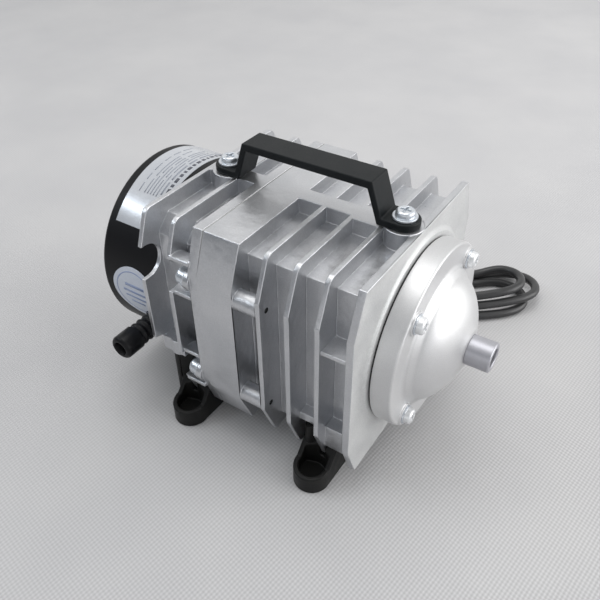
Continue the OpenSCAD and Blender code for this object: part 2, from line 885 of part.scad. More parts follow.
front_casting();
rear_casting();
housing_gasket();
housing_screws();
front_gasket();
front_cover();
cover_screws();
cover_washers();
outlet_tube();
rear_cap();
cap_seal();
cap_screws();
rating_label();
round_sticker();
intake_nozzle();
intake_filter();
handle();
handle_screws();
foot_front_near();
foot_front_far();
foot_rear_near();
foot_rear_far();
foot_screws();
cylinder_liner();
valve_cage();
outlet_valve();
outlet_valve_spring();
stator_core();
coil_front();
coil_rear();
coil_bobbins();
bearing_plate();
guide_bush();
piston();
piston_ring();
piston_rod();
armature();
valve_stop();
inlet_valve();
front_spring();
rear_spring();
terminal_block();
cord_gland();
cord_lead();
cord_hank();
cord_tail();
cord_tie();
mains_plug();
plug_pins();
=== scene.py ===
"""Studio scene of the pond air pump: finishes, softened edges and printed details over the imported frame."""

import math

import bmesh
import bpy
from mathutils import Matrix, Quaternion, Vector


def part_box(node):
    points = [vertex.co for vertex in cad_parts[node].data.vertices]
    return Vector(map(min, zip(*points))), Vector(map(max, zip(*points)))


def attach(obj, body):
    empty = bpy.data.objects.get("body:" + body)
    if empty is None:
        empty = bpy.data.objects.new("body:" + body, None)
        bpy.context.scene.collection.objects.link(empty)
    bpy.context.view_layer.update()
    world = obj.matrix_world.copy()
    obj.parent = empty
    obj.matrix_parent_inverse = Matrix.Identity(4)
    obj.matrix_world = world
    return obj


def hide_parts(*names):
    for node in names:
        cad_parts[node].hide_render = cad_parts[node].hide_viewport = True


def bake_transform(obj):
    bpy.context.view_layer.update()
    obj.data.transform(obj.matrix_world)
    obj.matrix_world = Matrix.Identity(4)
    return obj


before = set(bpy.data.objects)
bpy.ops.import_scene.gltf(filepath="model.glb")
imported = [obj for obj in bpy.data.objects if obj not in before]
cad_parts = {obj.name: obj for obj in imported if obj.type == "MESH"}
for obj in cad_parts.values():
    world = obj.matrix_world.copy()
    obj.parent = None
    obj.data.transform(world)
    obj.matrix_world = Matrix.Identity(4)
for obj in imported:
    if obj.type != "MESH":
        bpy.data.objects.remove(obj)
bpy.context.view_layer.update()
scene = bpy.context.scene
MM = 0.001


# ---------------------------------------------------------------- camera

camera = bpy.data.objects.new("camera", bpy.data.cameras.new("camera"))
scene.collection.objects.link(camera)
camera.data.lens = 39.7
camera.data.sensor_width = 36
camera.location = Vector((152, -240.1, 289.7)) * MM
target = Vector((-7.6, 0, 57.1)) * MM
camera.rotation_mode = "QUATERNION"
camera.rotation_quaternion = (target - camera.location).to_track_quat("-Z", "Y") @ Quaternion(
    (0, 0, 1), math.radians(-0.6)
)
camera.data.clip_start = 0.01
scene.camera = camera
scene.view_settings.view_transform = "Standard"


# ---------------------------------------------------------------- materials


def link(tree, source, target):
    """Wire from a node's output to another node's input."""
    tree.links.new(source, target)


def texture_place(tree):
    """Coordinates of the surface in metres."""
    return tree.nodes.new("ShaderNodeTexCoord").outputs["Object"]


def mixed(tree, one, other, factor, blend="MULTIPLY"):
    """Mix of two colours, by a number or by a socket."""
    node = tree.nodes.new("ShaderNodeMix")
    node.data_type = "RGBA"
    node.blend_type = blend
    link(tree, one, node.inputs["A"])
    if isinstance(other, tuple):
        node.inputs["B"].default_value = (*other, 1)
    else:
        link(tree, other, node.inputs["B"])
    if isinstance(factor, float):
        node.inputs["Factor"].default_value = factor
    else:
        link(tree, factor, node.inputs["Factor"])
    return node.outputs["Result"]


def bumped(tree, height, distance, under=None):
    """Normal of a surface with this height in millimetres, laid over another bump if there is one."""
    node = tree.nodes.new("ShaderNodeBump")
    node.inputs["Distance"].default_value = distance * MM
    link(tree, height, node.inputs["Height"])
    if under:
        link(tree, under, node.inputs["Normal"])
    return node.outputs["Normal"]


def distance_along(tree, vector, direction):
    """Distance of each point along a direction."""
    node = tree.nodes.new("ShaderNodeVectorMath")
    node.operation = "DOT_PRODUCT"
    node.inputs[1].default_value = direction
    link(tree, vector, node.inputs[0])
    return node.outputs["Value"]


def ramp(tree, source, stops):
    """Colour ramp from a list of (place, grey or colour)."""
    node = tree.nodes.new("ShaderNodeValToRGB")
    elements = node.color_ramp.elements
    while len(elements) < len(stops):
        elements.new(0.5)
    for element, (place, value) in zip(elements, stops):
        element.position = place
        element.color = (*value, 1) if isinstance(value, tuple) else (value, value, value, 1)
    link(tree, source, node.inputs["Fac"])
    return node.outputs["Color"]


def noise_of(tree, vector, per_metre, detail=3, rough=0.55):
    """Grey noise between 0 and 1."""
    node = tree.nodes.new("ShaderNodeTexNoise")
    node.inputs["Scale"].default_value = per_metre
    node.inputs["Detail"].default_value = detail
    node.inputs["Roughness"].default_value = rough
    link(tree, vector, node.inputs["Vector"])
    return node.outputs["Fac"]


def between(tree, source, low, high, start=0.3, end=0.7):
    """Value that goes from low to high as the source goes from start to end, and stays there beyond."""
    node = tree.nodes.new("ShaderNodeMapRange")
    node.inputs["From Min"].default_value = start
    node.inputs["From Max"].default_value = end
    node.inputs["To Min"].default_value = low
    node.inputs["To Max"].default_value = high
    link(tree, source, node.inputs["Value"])
    return node.outputs["Result"]


WAVES_PER_METRE = 110


def material(
    name,
    color,
    other=None,
    rough=(0.4, 0.55),
    metal=0.0,
    cloud=60,
    grain=1500,
    bump=0.02,
    specular=0.5,
    sheen=0.0,
    stretch=(1, 1, 1),
    speckle=None,
    waves=0.0,
):
    """Procedural finish: two shades in slow clouds, with a fine grain in colour, roughness and height.

    cloud, grain and the first value of speckle are per metre, and bump and waves are heights in millimetres.
    """
    made = bpy.data.materials.new(name)
    made.use_nodes = True
    tree = made.node_tree
    shader = tree.nodes["Principled BSDF"]
    shader.inputs["Metallic"].default_value = metal
    shader.inputs["Specular IOR Level"].default_value = specular
    shader.inputs["Sheen Weight"].default_value = sheen
    place = texture_place(tree)
    mapping = tree.nodes.new("ShaderNodeMapping")
    mapping.inputs["Scale"].default_value = stretch
    link(tree, place, mapping.inputs["Vector"])
    clouds = noise_of(tree, place, cloud, 4)
    fine = noise_of(tree, mapping.outputs["Vector"], grain, 3, 0.6)
    other = other or tuple(c * 0.86 for c in color)
    tint = ramp(tree, clouds, [(0.32, other), (0.68, color)])
    shade = mixed(tree, tint, ramp(tree, fine, [(0.3, 0.82), (0.62, 1.0)]), 0.6)
    if speckle:
        per_metre, spot_color = speckle
        dots = tree.nodes.new("ShaderNodeTexVoronoi")
        dots.inputs["Scale"].default_value = per_metre
        link(tree, place, dots.inputs["Vector"])
        mask = ramp(tree, dots.outputs["Distance"], [(0.0, 1.0), (0.16, 0.0)])
        shade = mixed(tree, shade, spot_color, mask, "MIX")
    link(tree, shade, shader.inputs["Base Color"])
    roughness = tree.nodes.new("ShaderNodeMath")
    roughness.operation = "ADD"
    link(tree, between(tree, clouds, rough[0], rough[1]), roughness.inputs[0])
    link(tree, between(tree, fine, -0.05, 0.05), roughness.inputs[1])
    link(tree, roughness.outputs["Value"], shader.inputs["Roughness"])
    slow = bumped(tree, noise_of(tree, place, WAVES_PER_METRE, 2), waves) if waves else None
    link(tree, bumped(tree, fine, bump, slow), shader.inputs["Normal"])
    return made


LOOKS = {
    "cast_alloy": dict(
        color=(0.645, 0.65, 0.665), other=(0.555, 0.565, 0.585), rough=(0.31, 0.41), metal=0.92, cloud=45,
        grain=1200, bump=0.022, speckle=(950, (0.8, 0.81, 0.83)), waves=0.5,
    ),
    # Near-black painted shade for the insides of the shallow pits
    "pit_painted_shade": dict(
        color=(0.03, 0.032, 0.03), rough=(0.6, 0.7), cloud=200, grain=1500, bump=0.02,
    ),
    "sanded_alloy": dict(
        color=(0.66, 0.665, 0.66), other=(0.57, 0.575, 0.575), rough=(0.44, 0.56), metal=0.55, cloud=60,
        grain=1000, bump=0.1, speckle=(900, (0.92, 0.92, 0.92)),
    ),
    "cover_alloy": dict(
        color=(0.7, 0.7, 0.7), other=(0.65, 0.65, 0.655), rough=(0.42, 0.48), metal=0.72, cloud=30,
        grain=2600, bump=0.006,
    ),
    "tube_alloy": dict(
        color=(0.5, 0.5, 0.535), rough=(0.38, 0.46), metal=0.75, cloud=40, grain=900, bump=0.01,
        stretch=(9, 1, 1),
    ),
    "cap_black": dict(
        color=(0.004, 0.004, 0.005), rough=(0.4, 0.48), cloud=40, grain=1900, bump=0.015, specular=0.2,
    ),
    "nozzle_black": dict(
        color=(0.004, 0.004, 0.005), rough=(0.34, 0.46), cloud=90, grain=1500, bump=0.012, specular=0.2,
    ),
    "handle_black": dict(
        color=(0.003, 0.005, 0.006), rough=(0.42, 0.5), cloud=70, grain=1700, bump=0.015, specular=0.25,
    ),
    "foot_rubber": dict(
        color=(0.005, 0.005, 0.005), other=(0.009, 0.009, 0.008), rough=(0.36, 0.52), cloud=110,
        grain=1200, bump=0.02, specular=0.22,
    ),
    "gasket_rubber": dict(
        color=(0.03, 0.031, 0.033), rough=(0.6, 0.75), cloud=160, grain=1800, bump=0.02,
    ),
    "zinc_screw": dict(
        color=(0.72, 0.75, 0.78), other=(0.64, 0.68, 0.73), rough=(0.26, 0.36), metal=0.85, cloud=260,
        grain=2200, bump=0.008,
    ),
    "bright_screw": dict(
        color=(0.84, 0.85, 0.86), other=(0.78, 0.79, 0.8), rough=(0.36, 0.44), metal=0.7, cloud=260,
        grain=2200, bump=0.008,
    ),
    "label_silver": dict(
        color=(0.57, 0.585, 0.61), other=(0.51, 0.53, 0.565), rough=(0.18, 0.24), metal=0.3, cloud=35,
        grain=2600, bump=0.004,
    ),
    "label_ink": dict(
        color=(0.09, 0.095, 0.12), rough=(0.35, 0.45), cloud=140, grain=3000, bump=0.004,
    ),
    "label_faint": dict(
        color=(0.3, 0.32, 0.37), rough=(0.35, 0.45), cloud=140, grain=3000, bump=0.004,
    ),
    "sticker_white": dict(
        color=(0.58, 0.61, 0.68), other=(0.53, 0.57, 0.64), rough=(0.3, 0.4), cloud=70, grain=2600,
        bump=0.004,
    ),
    "sticker_ink": dict(
        color=(0.24, 0.3, 0.48), other=(0.3, 0.36, 0.52), rough=(0.35, 0.45), cloud=220, grain=3000,
        bump=0.004,
    ),
    "filter_felt": dict(
        color=(0.55, 0.5, 0.38), rough=(0.85, 0.95), cloud=300, grain=2600, bump=0.12, sheen=0.3,
    ),
    "liner_alloy": dict(
        color=(0.62, 0.64, 0.67), rough=(0.2, 0.3), metal=1.0, cloud=80, grain=1800, bump=0.006,
        stretch=(6, 1, 1),
    ),
    "core_steel": dict(
        color=(0.26, 0.28, 0.31), rough=(0.35, 0.5), metal=0.9, cloud=120, grain=1400, bump=0.02,
        stretch=(12, 1, 1),
    ),
    "gasket_fibre": dict(
        color=(0.36, 0.36, 0.35), rough=(0.7, 0.8), cloud=160, grain=1800, bump=0.02,
    ),
    "valve_rubber": dict(
        color=(0.2, 0.09, 0.05), rough=(0.5, 0.65), cloud=200, grain=1800, bump=0.015,
    ),
    "spring_steel": dict(
        color=(0.55, 0.56, 0.58), rough=(0.2, 0.32), metal=1.0, cloud=150, grain=2400, bump=0.005,
    ),
    "coil_copper": dict(
        color=(0.55, 0.24, 0.11), other=(0.42, 0.16, 0.07), rough=(0.25, 0.38), metal=0.95, cloud=90,
        grain=900, bump=0.06, stretch=(3, 0.3, 0.3),
    ),
    "nylon_ivory": dict(
        color=(0.68, 0.64, 0.52), rough=(0.38, 0.5), cloud=90, grain=1700, bump=0.012,
    ),
    "bush_bronze": dict(
        color=(0.45, 0.3, 0.14), rough=(0.3, 0.42), metal=0.95, cloud=140, grain=2000, bump=0.012,
    ),
    "magnet_dark": dict(
        color=(0.07, 0.07, 0.075), rough=(0.35, 0.5), metal=0.4, cloud=150, grain=1600, bump=0.02,
    ),
    "cord_black": dict(
        color=(0.024, 0.024, 0.025), other=(0.032, 0.032, 0.033), rough=(0.3, 0.4), cloud=120, grain=1900,
        bump=0.01,
    ),
    "pin_brass": dict(
        color=(0.6, 0.48, 0.26), rough=(0.22, 0.32), metal=1.0, cloud=160, grain=2200, bump=0.006,
    ),
}
FINISH = {name: material(name, **look) for name, look in LOOKS.items()}


def dressed(obj, slot, body="housing", finish=None):
    """Gives a new piece its finish and its place on a body."""
    obj.data.materials.clear()
    obj.data.materials.append(FINISH[finish or slot])
    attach(obj, body)
    return obj


def new_piece(name, mesh_or_curve):
    """New object in the scene."""
    obj = bpy.data.objects.new(name, mesh_or_curve)
    scene.collection.objects.link(obj)
    return obj


# ---------------------------------------------------------------- mains cord

CORD_D = 5.8 * MM
# Route of the lead from the strain relief to the hank, and of the tail from the hank to the plug
LEAD = [
    (-84, 77.5, 52), (-84, 87, 52), (-84, 99, 48.8), (-84, 107.8, 40), (-84, 111, 28),
    (-80.8, 111, 15), (-72, 110.5, 6.2), (-60, 108, 3), (-48, 103.5, 3), (-38, 99, 3),
    (-28, 96, 3), (-18, 95.5, 3),
]
TAIL = [
    (-26, 77, 13), (-33, 84, 12.4), (-37, 92, 11.9), (-42, 101, 10.6), (-47, 110, 8.6),
    (-51, 118, 6.2), (-55, 126, 4.6), (-59, 134, 4),
]
PLUG_AT = Vector((-59, 134, 0)) * MM
PLUG_TURN = math.radians(118)
HANK_MID = (33.5, 111.5)
# Heading of the hank's centre line in degrees at distances from its middle
HANK_BEND = [(-90, 27), (-30, 29), (15, 35), (48, 52), (90, 52)]
# How far the strands rise under the strap
HUMP = 0.8
# Each turn of the hank: across and height of its far run and its near run, how far its folds reach to the
# front and back, the heights round the front fold, and where the back fold leads on to with its heights
TURNS = [
    ((12.4, 3), (-22, 3), 40, 46, [3, 3, 3, 3, 3, 3, 3], (20, [3, 3, 3.3, 4.8, 7.2, 8.9, 8.6])),
    (
        (18.8, 3), (-19.2, 8.5), 49, 40, [3.2, 3.6, 4.8, 6.6, 8.2, 9.4, 10],
        (14.2, [8.5, 8.6, 8.7, 8.9, 9, 9, 9]),
    ),
    ((15.9, 8), (-16.6, 14), 39, 46, [9, 11.8, 13.8, 15.4, 16.5, 17, 17], None),
]


def heading(u):
    """Direction of the hank's bent centre line at the distance u from its middle, in radians."""
    for (u0, h0), (u1, h1) in zip(HANK_BEND, HANK_BEND[1:]):
        if u <= u1:
            return math.radians(h0 + (h1 - h0) * (u - u0) / (u1 - u0))
    return math.radians(HANK_BEND[-1][1])


def in_hank(u, v, z):
    """Point at u along the hank's centre line, v to its far side and the height z."""
    x, y = HANK_MID
    steps = 60
    for i in range(steps):
        h = heading(u * (i + 0.5) / steps)
        x += math.cos(h) * u / steps
        y += math.sin(h) * u / steps
    h = heading(u)
    return (x - v * math.sin(h), y + v * math.cos(h), z)


def fold_points(u, v0, v1, side, heights):
    """Half circle from v0 to v1 across the hank, at its front end for side 1 and its back end for -1."""
    middle, radius = (v0 + v1) / 2, abs(v1 - v0) / 2
    last = len(heights) - 1
    return [
        in_hank(
            u + side * radius * math.sin(math.pi * i / last),
            middle + (v0 - middle) * math.cos(math.pi * i / last),
            z,
        )
        for i, z in enumerate(heights)
    ]


def hank_points():
    """Route through the turns of the hank, up to where the tail starts."""
    points = []
    for (far_v, far_z), (near_v, near_z), front, back, front_heights, onward in TURNS:
        start_v = far_v if onward else far_v - 1.3
        for u, v in zip((-26, -8, 8, 24), (start_v, far_v, far_v, far_v)):
            points.append(in_hank(u, v, far_z + (HUMP if abs(u) < 9 else 0)))
        points += fold_points(front, far_v, near_v, 1, front_heights)
        lift = front_heights[-1] - near_z
        for u, more in ((24, lift * 0.6), (8, HUMP), (-8, HUMP), (-26, 0)):
            points.append(in_hank(u, near_v, near_z + more))
        if onward:
            points += fold_points(-back, near_v, onward[0], -1, onward[1])
            continue
        for i in range(3):
            a = math.radians(22.5 * i)
            points.append(in_hank(-back - 25 * math.sin(a), near_v + 25 - 25 * math.cos(a), near_z - 0.4 * i))
    return points


def smooth_route(points, spacing=2.5, rounds=5):
    """Evenly spaced points on one smooth curve through the route."""
    knots = [Vector(p) for p in points]
    knots = [knots[0] * 2 - knots[1], *knots, knots[-1] * 2 - knots[-2]]
    dense = []
    for p0, p1, p2, p3 in zip(knots, knots[1:], knots[2:], knots[3:]):
        d0, d1, d2 = [math.sqrt(max((b - a).length, 1e-6)) for a, b in ((p0, p1), (p1, p2), (p2, p3))]
        m1 = ((p1 - p0) / d0 - (p2 - p0) / (d0 + d1) + (p2 - p1) / d1) * d1
        m2 = ((p2 - p1) / d1 - (p3 - p1) / (d1 + d2) + (p3 - p2) / d2) * d1
        for j in range(12):
            t = j / 12
            dense.append(
                p1 * (2 * t**3 - 3 * t**2 + 1) + m1 * (t**3 - 2 * t**2 + t)
                + p2 * (3 * t**2 - 2 * t**3) + m2 * (t**3 - t**2)
            )
    dense.append(knots[-2])
    even, left = [dense[0]], spacing
    for a, b in zip(dense, dense[1:]):
        run = (b - a).length
        while run >= left:
            a = a + (b - a) * (left / run)
            even.append(a)
            run -= left
            left = spacing
        left -= run
    even.append(dense[-1])
    for _ in range(rounds):
        even[1:-1] = [p * 0.5 + (a + b) * 0.25 for a, p, b in zip(even, even[1:], even[2:])]
    return [Vector((p.x, p.y, max(p.z, 2.95))) for p in even]


route = [p * MM for p in smooth_route(LEAD + hank_points() + TAIL)]
cord_curve = bpy.data.curves.new("cord", "CURVE")
cord_curve.dimensions = "3D"
cord_curve.bevel_depth = CORD_D / 2
cord_curve.bevel_resolution = 6
cord_curve.use_fill_caps = True
strand = cord_curve.splines.new("POLY")
strand.points.add(len(route) - 1)
for point, place in zip(strand.points, route):
    point.co = (*place, 1)
cord = dressed(new_piece("mains_cord", cord_curve), "cord_black")
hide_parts("cord_lead", "cord_hank", "cord_tail")


# ---------------------------------------------------------------- mesh helpers


def to_mesh(name, bm):
    """Smooth-shaded mesh from a bmesh, which is freed."""
    mesh = bpy.data.meshes.new(name)
    for face in bm.faces:
        face.smooth = True
    bm.to_mesh(mesh)
    bm.free()
    return mesh


def lathe(name, outline, axis, origin, segments):
    """Closed outline of (radius, distance) points in millimetres, turned about an axis through the origin."""
    direction = Vector(axis).normalized()
    side = direction.orthogonal().normalized()
    other = direction.cross(side)
    turns = [2 * math.pi * k / segments for k in range(segments)]
    bm = bmesh.new()
    rings = []
    for radius, distance in outline:
        centre = Vector(origin) + direction * distance * MM
        rings.append([
            bm.verts.new(centre + (side * math.cos(a) + other * math.sin(a)) * radius * MM) for a in turns
        ])
    for low, high in zip(rings, rings[1:] + rings[:1]):
        for k in range(segments):
            n = (k + 1) % segments
            bm.faces.new((low[k], low[n], high[n], high[k]))
    bmesh.ops.recalc_face_normals(bm, faces=bm.faces)
    return to_mesh(name, bm)


SHARP_ANGLE = math.radians(35)
SHORTEST_ROUNDED = 0.42 * MM


def round_edges(obj, width, segments, shortest=0.0):
    """Rounds the sharp edges from a shortest length up, and keeps the flats flat in shading."""
    bm = bmesh.new()
    bm.from_mesh(obj.data)
    weight = bm.edges.layers.float.new("bevel_weight_edge")
    for edge in bm.edges:
        sharp = edge.is_manifold and edge.calc_face_angle() > SHARP_ANGLE
        rounded = sharp and edge.calc_length() >= shortest
        edge[weight] = 1.0 if rounded else 0.0
        edge.smooth = not sharp or rounded
    bm.to_mesh(obj.data)
    bm.free()
    bevel = obj.modifiers.new("round", "BEVEL")
    bevel.width = width
    bevel.segments = segments
    bevel.limit_method = "WEIGHT"
    bevel.use_clamp_overlap = False
    bevel.loop_slide = False
    weighted = obj.modifiers.new("normals", "WEIGHTED_NORMAL")
    weighted.mode = "FACE_AREA"
    weighted.keep_sharp = True


def softened(node, slot, width, segments=3, body="housing", finish=None):
    """Copy of a CAD node with its edges rounded to a width in millimetres, which is shown in its place."""
    bm = bmesh.new()
    bm.from_mesh(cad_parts[node].data)
    bmesh.ops.remove_doubles(bm, verts=bm.verts, dist=0.002 * MM)
    bmesh.ops.dissolve_limit(bm, angle_limit=math.radians(0.1), verts=bm.verts, edges=bm.edges)
    bmesh.ops.connect_verts_concave(bm, faces=bm.faces)
    obj = new_piece(node + "_shown", to_mesh(node + "_shown", bm))
    round_edges(obj, width * MM, segments, SHORTEST_ROUNDED)
    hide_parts(node)
    return dressed(obj, slot, body, finish)


# ---------------------------------------------------------------- housing, cover and fittings

front_half = softened("front_casting", "cast_alloy", 0.45)
front_half.data.materials.append(FINISH["sanded_alloy"])
# Third slot: painted shade for the pits
front_half.data.materials.append(FINISH["pit_painted_shade"])
# The front plate's face and the raised ring on it are sanded, from a little behind the foremost point
plate_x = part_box("front_casting")[1].x - 1.6 * MM
# Shallow pits in the first fin, in line with the housing screws; their faces are painted near-black as
# painted shade in the hollows
PITS = [Vector((11.1, side * 56.3, z)) * MM for side in (-1, 1) for z in (97.5, 36.5)]
PIT_REACH = 1.7 * MM
for face in front_half.data.polygons:
    in_pit = any((face.center - pit).length < PIT_REACH for pit in PITS)
    face.material_index = 2 if in_pit else int(face.center.x > plate_x)
softened("rear_casting", "cast_alloy", 0.45)
softened("front_cover", "cover_alloy", 0.4)
softened("outlet_tube", "tube_alloy", 0.25)
softened("rear_cap", "cap_black", 0.3)
softened("handle", "handle_black", 0.7, 4)
for foot in ("foot_front_near", "foot_front_far", "foot_rear_near", "foot_rear_far"):
    softened(foot, "foot_rubber", 0.8, 4)
for screws, width in (("housing_screws", 0.25), ("handle_screws", 0.25), ("cap_screws", 0.12)):
    softened(screws, "zinc_screw", width, 2)
softened("cover_screws", "zinc_screw", 0.18, 2, finish="bright_screw")
softened("foot_screws", "zinc_screw", 0.2, 2)
softened("cover_washers", "zinc_screw", 0.12, 2)

# CAD nodes that are shown as they are, and the finish of each
PLAIN = {
    "housing_gasket": "gasket_fibre", "front_gasket": "gasket_rubber", "cap_seal": "gasket_rubber",
    "rating_label": "label_silver", "round_sticker": "sticker_white", "intake_filter": "filter_felt",
    "cylinder_liner": "liner_alloy", "valve_cage": "core_steel", "outlet_valve": "valve_rubber",
    "stator_core": "core_steel", "coil_front": "coil_copper", "coil_rear": "coil_copper",
    "coil_bobbins": "nylon_ivory", "bearing_plate": "core_steel", "guide_bush": "bush_bronze",
    "piston": "liner_alloy", "piston_ring": "valve_rubber", "piston_rod": "spring_steel",
    "armature": "magnet_dark", "valve_stop": "spring_steel", "inlet_valve": "valve_rubber",
    "terminal_block": "nylon_ivory",
}
for node, finish in PLAIN.items():
    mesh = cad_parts[node].data
    mesh.materials.clear()
    mesh.materials.append(FINISH[finish])


# ---------------------------------------------------------------- springs

STEPS_PER_TURN = 40


def coil_spring(node, turns, wire_r, moving_end):
    """Round wire spring in place of a CAD node, along the x of its box; moving_end, lower or upper x, only
    orders a list of ends that nothing uses, and the spring is put on no body.
    """
    low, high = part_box(node)
    middle_y, middle_z = (low.y + high.y) / 2, (low.z + high.z) / 2
    coil_r = (high.z - low.z) / 2 - wire_r
    rounds, steps = 12, int(STEPS_PER_TURN * turns)
    bm = bmesh.new()
    rings = []
    for i in range(steps + 1):
        a = 2 * math.pi * turns * i / steps
        out = Vector((0, math.cos(a), math.sin(a)))
        x = low.x + wire_r + (high.x - low.x - 2 * wire_r) * i / steps
        centre = Vector((x, middle_y, middle_z)) + out * coil_r
        rings.append([
            bm.verts.new(centre + (out * math.cos(b) + Vector((1, 0, 0)) * math.sin(b)) * wire_r)
            for b in (2 * math.pi * k / rounds for k in range(rounds))
        ])
    for near, far in zip(rings, rings[1:]):
        for k in range(rounds):
            bm.faces.new((near[k - 1], near[k], far[k], far[k - 1]))
    bm.faces.new(rings[0])
    bm.faces.new(rings[-1])
    bmesh.ops.recalc_face_normals(bm, faces=bm.faces)
    spring = new_piece(node + "_wire", to_mesh(node + "_wire", bm))
    spring.data.materials.append(FINISH["spring_steel"])
    ends = [(low.x, middle_y, middle_z), (high.x, middle_y, middle_z)]
    if moving_end == "lower":
        ends.reverse()
    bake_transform(spring)
    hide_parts(node)


coil_spring("front_spring", 7, 1.1 * MM, "lower")
coil_spring("rear_spring", 2.5, 0.9 * MM, "upper")
coil_spring("outlet_valve_spring", 2.5, 0.4 * MM, "lower")


# ---------------------------------------------------------------- intake nozzle

cap_lo, cap_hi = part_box("rear_cap")
axis_z = (cap_lo.z + cap_hi.z) / 2
cap_r = (cap_hi.z - cap_lo.z) / 2
nozzle_lo, nozzle_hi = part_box("intake_nozzle")
nozzle_r = (nozzle_hi.x - nozzle_lo.x) / 2 / MM
nozzle_end = -nozzle_lo.y / MM
nozzle_x = (nozzle_lo.x + nozzle_hi.x) / 2
nozzle_z = nozzle_lo.z + nozzle_r * MM
nozzle_start = -nozzle_hi.y / MM
NOZZLE_BORE_R = 4
SKIN_Y = 44
RIDGES_Y, RIDGE_PITCH, RIDGE_DEPTH = 49, 4.2, 0.45
LIP_R = 2.2
# Profile of the nozzle in millimetres: stub inside the cap, ridged grip and rounded lip
profile = [(NOZZLE_BORE_R, nozzle_start), (5.1, nozzle_start), (5.1, SKIN_Y), (nozzle_r - 0.4, SKIN_Y)]
for i in range(42):
    y = RIDGES_Y + i * 0.4
    wave = math.cos(2 * math.pi * (y - RIDGES_Y) / RIDGE_PITCH)
    profile.append((nozzle_r - 0.8 - RIDGE_DEPTH * wave, y))
profile += [(nozzle_r - 0.5, 66.3), (nozzle_r, 67)]
for i in range(7):
    a = math.radians(15 * i)
    profile.append((nozzle_r - LIP_R + LIP_R * math.cos(a), nozzle_end - LIP_R + LIP_R * math.sin(a)))
profile += [(NOZZLE_BORE_R + 0.3, nozzle_end), (NOZZLE_BORE_R, nozzle_end - 0.3)]
nozzle_mesh = lathe("inlet_nozzle", profile, (0, -1, 0), (nozzle_x, 0, nozzle_z), 72)
# The nozzle's base follows the cap's round skin
for vert in nozzle_mesh.vertices:
    away = math.hypot(vert.co.x - nozzle_x, vert.co.z - nozzle_z)
    if away > 5 * MM and abs(vert.co.y + SKIN_Y * MM) < 0.01 * MM:
        vert.co.y = 0.2 * MM - math.sqrt(cap_r**2 - (vert.co.z - axis_z) ** 2)
nozzle = new_piece("inlet_nozzle", nozzle_mesh)
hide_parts("intake_nozzle")
dressed(nozzle, "nozzle_black")


# ---------------------------------------------------------------- cord fittings

gland_lo, gland_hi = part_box("cord_gland")
gland_centre = (gland_lo + gland_hi) / 2
# Profile of the strain relief in millimetres: nut inside the cap, neck, collar outside, then tapered ribs
gland = [
    (2.9, 40.4), (8, 40.4), (8, 43.2), (5.4, 43.2), (5.4, 53), (7.4, 53), (8, 53.5), (8, 55), (7.5, 55.4),
]
for i in range(6):
    y = 56.4 + i * 3.3
    radius = 5.6 - i * 0.3
    gland += [(radius, y), (radius, y + 1.4), (radius - 0.9, y + 1.8), (radius - 0.95, y + 2.9)]
gland += [(3.8, 76.6), (3.6, 77.5), (2.9, 77.5)]
boot_mesh = lathe("strain_relief", gland, (0, 1, 0), (gland_centre.x, 0, gland_centre.z), 48)
boot = new_piece("strain_relief", boot_mesh)
round_edges(boot, 0.15 * MM, 2)
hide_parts("cord_gland")
dressed(boot, "nozzle_black", finish="cord_black")


def convex(points):
    """Convex outline round a set of 2D points."""
    points = sorted(set(points))
    halves = []
    for ordered in (points, points[::-1]):
        half = []
        for p in ordered:
            while len(half) > 1 and (
                (half[-1][0] - half[-2][0]) * (p[1] - half[-2][1])
                - (half[-1][1] - half[-2][1]) * (p[0] - half[-2][0])
            ) <= 0:
                half.pop()
            half.append(p)
        halves += half[:-1]
    return halves


# Strap round all the strands of the hank, in millimetres
STRAP_HALF_W, STRAP_T, STRAND_R = 4.5, 0.55, 3.1
strands = [(v, z + HUMP) for turn in TURNS for v, z in turn[:2]]
outline = convex([
    (round(v + STRAND_R * math.cos(a), 3), round(z + STRAND_R * math.sin(a), 3))
    for v, z in strands
    for a in (math.radians(15 * k) for k in range(24))
])
bm = bmesh.new()
loops = []
for u in (-STRAP_HALF_W, STRAP_HALF_W):
    for grow in (0, STRAP_T):
        loop = []
        for i, (v, z) in enumerate(outline):
            (va, za), (vb, zb) = outline[i - 1], outline[(i + 1) % len(outline)]
            out = Vector((zb - za, va - vb)).normalized() * grow
            loop.append(bm.verts.new(Vector(in_hank(u, v + out.x, z + out.y)) * MM))
        loops.append(loop)
for one, two in ((0, 1), (1, 3), (3, 2), (2, 0)):
    for i in range(len(outline)):
        j = (i + 1) % len(outline)
        bm.faces.new((loops[one][i], loops[one][j], loops[two][j], loops[two][i]))
bmesh.ops.recalc_face_normals(bm, faces=bm.faces)
tie = new_piece("cord_strap", to_mesh("cord_strap", bm))
round_edges(tie, 0.12 * MM, 2)
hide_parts("cord_tie")
dressed(tie, "nozzle_black", finish="cord_black")


def rounded_box(bm, low, high, radius, segments=3):
    """Box with rounded edges added to a mesh, from corner to corner, in millimetres."""
    low, high = Vector(low) * MM, Vector(high) * MM
    made = bmesh.ops.create_cube(bm, size=1)
    size = high - low
    middle = (high + low) / 2
    for vert in made["verts"]:
        vert.co = Vector((vert.co.x * size.x, vert.co.y * size.y, vert.co.z * size.z)) + middle
    edges = list({e for v in made["verts"] for e in v.link_edges})
    bmesh.ops.bevel(bm, geom=edges, offset=radius * MM, segments=segments, profile=0.5, affect="EDGES")


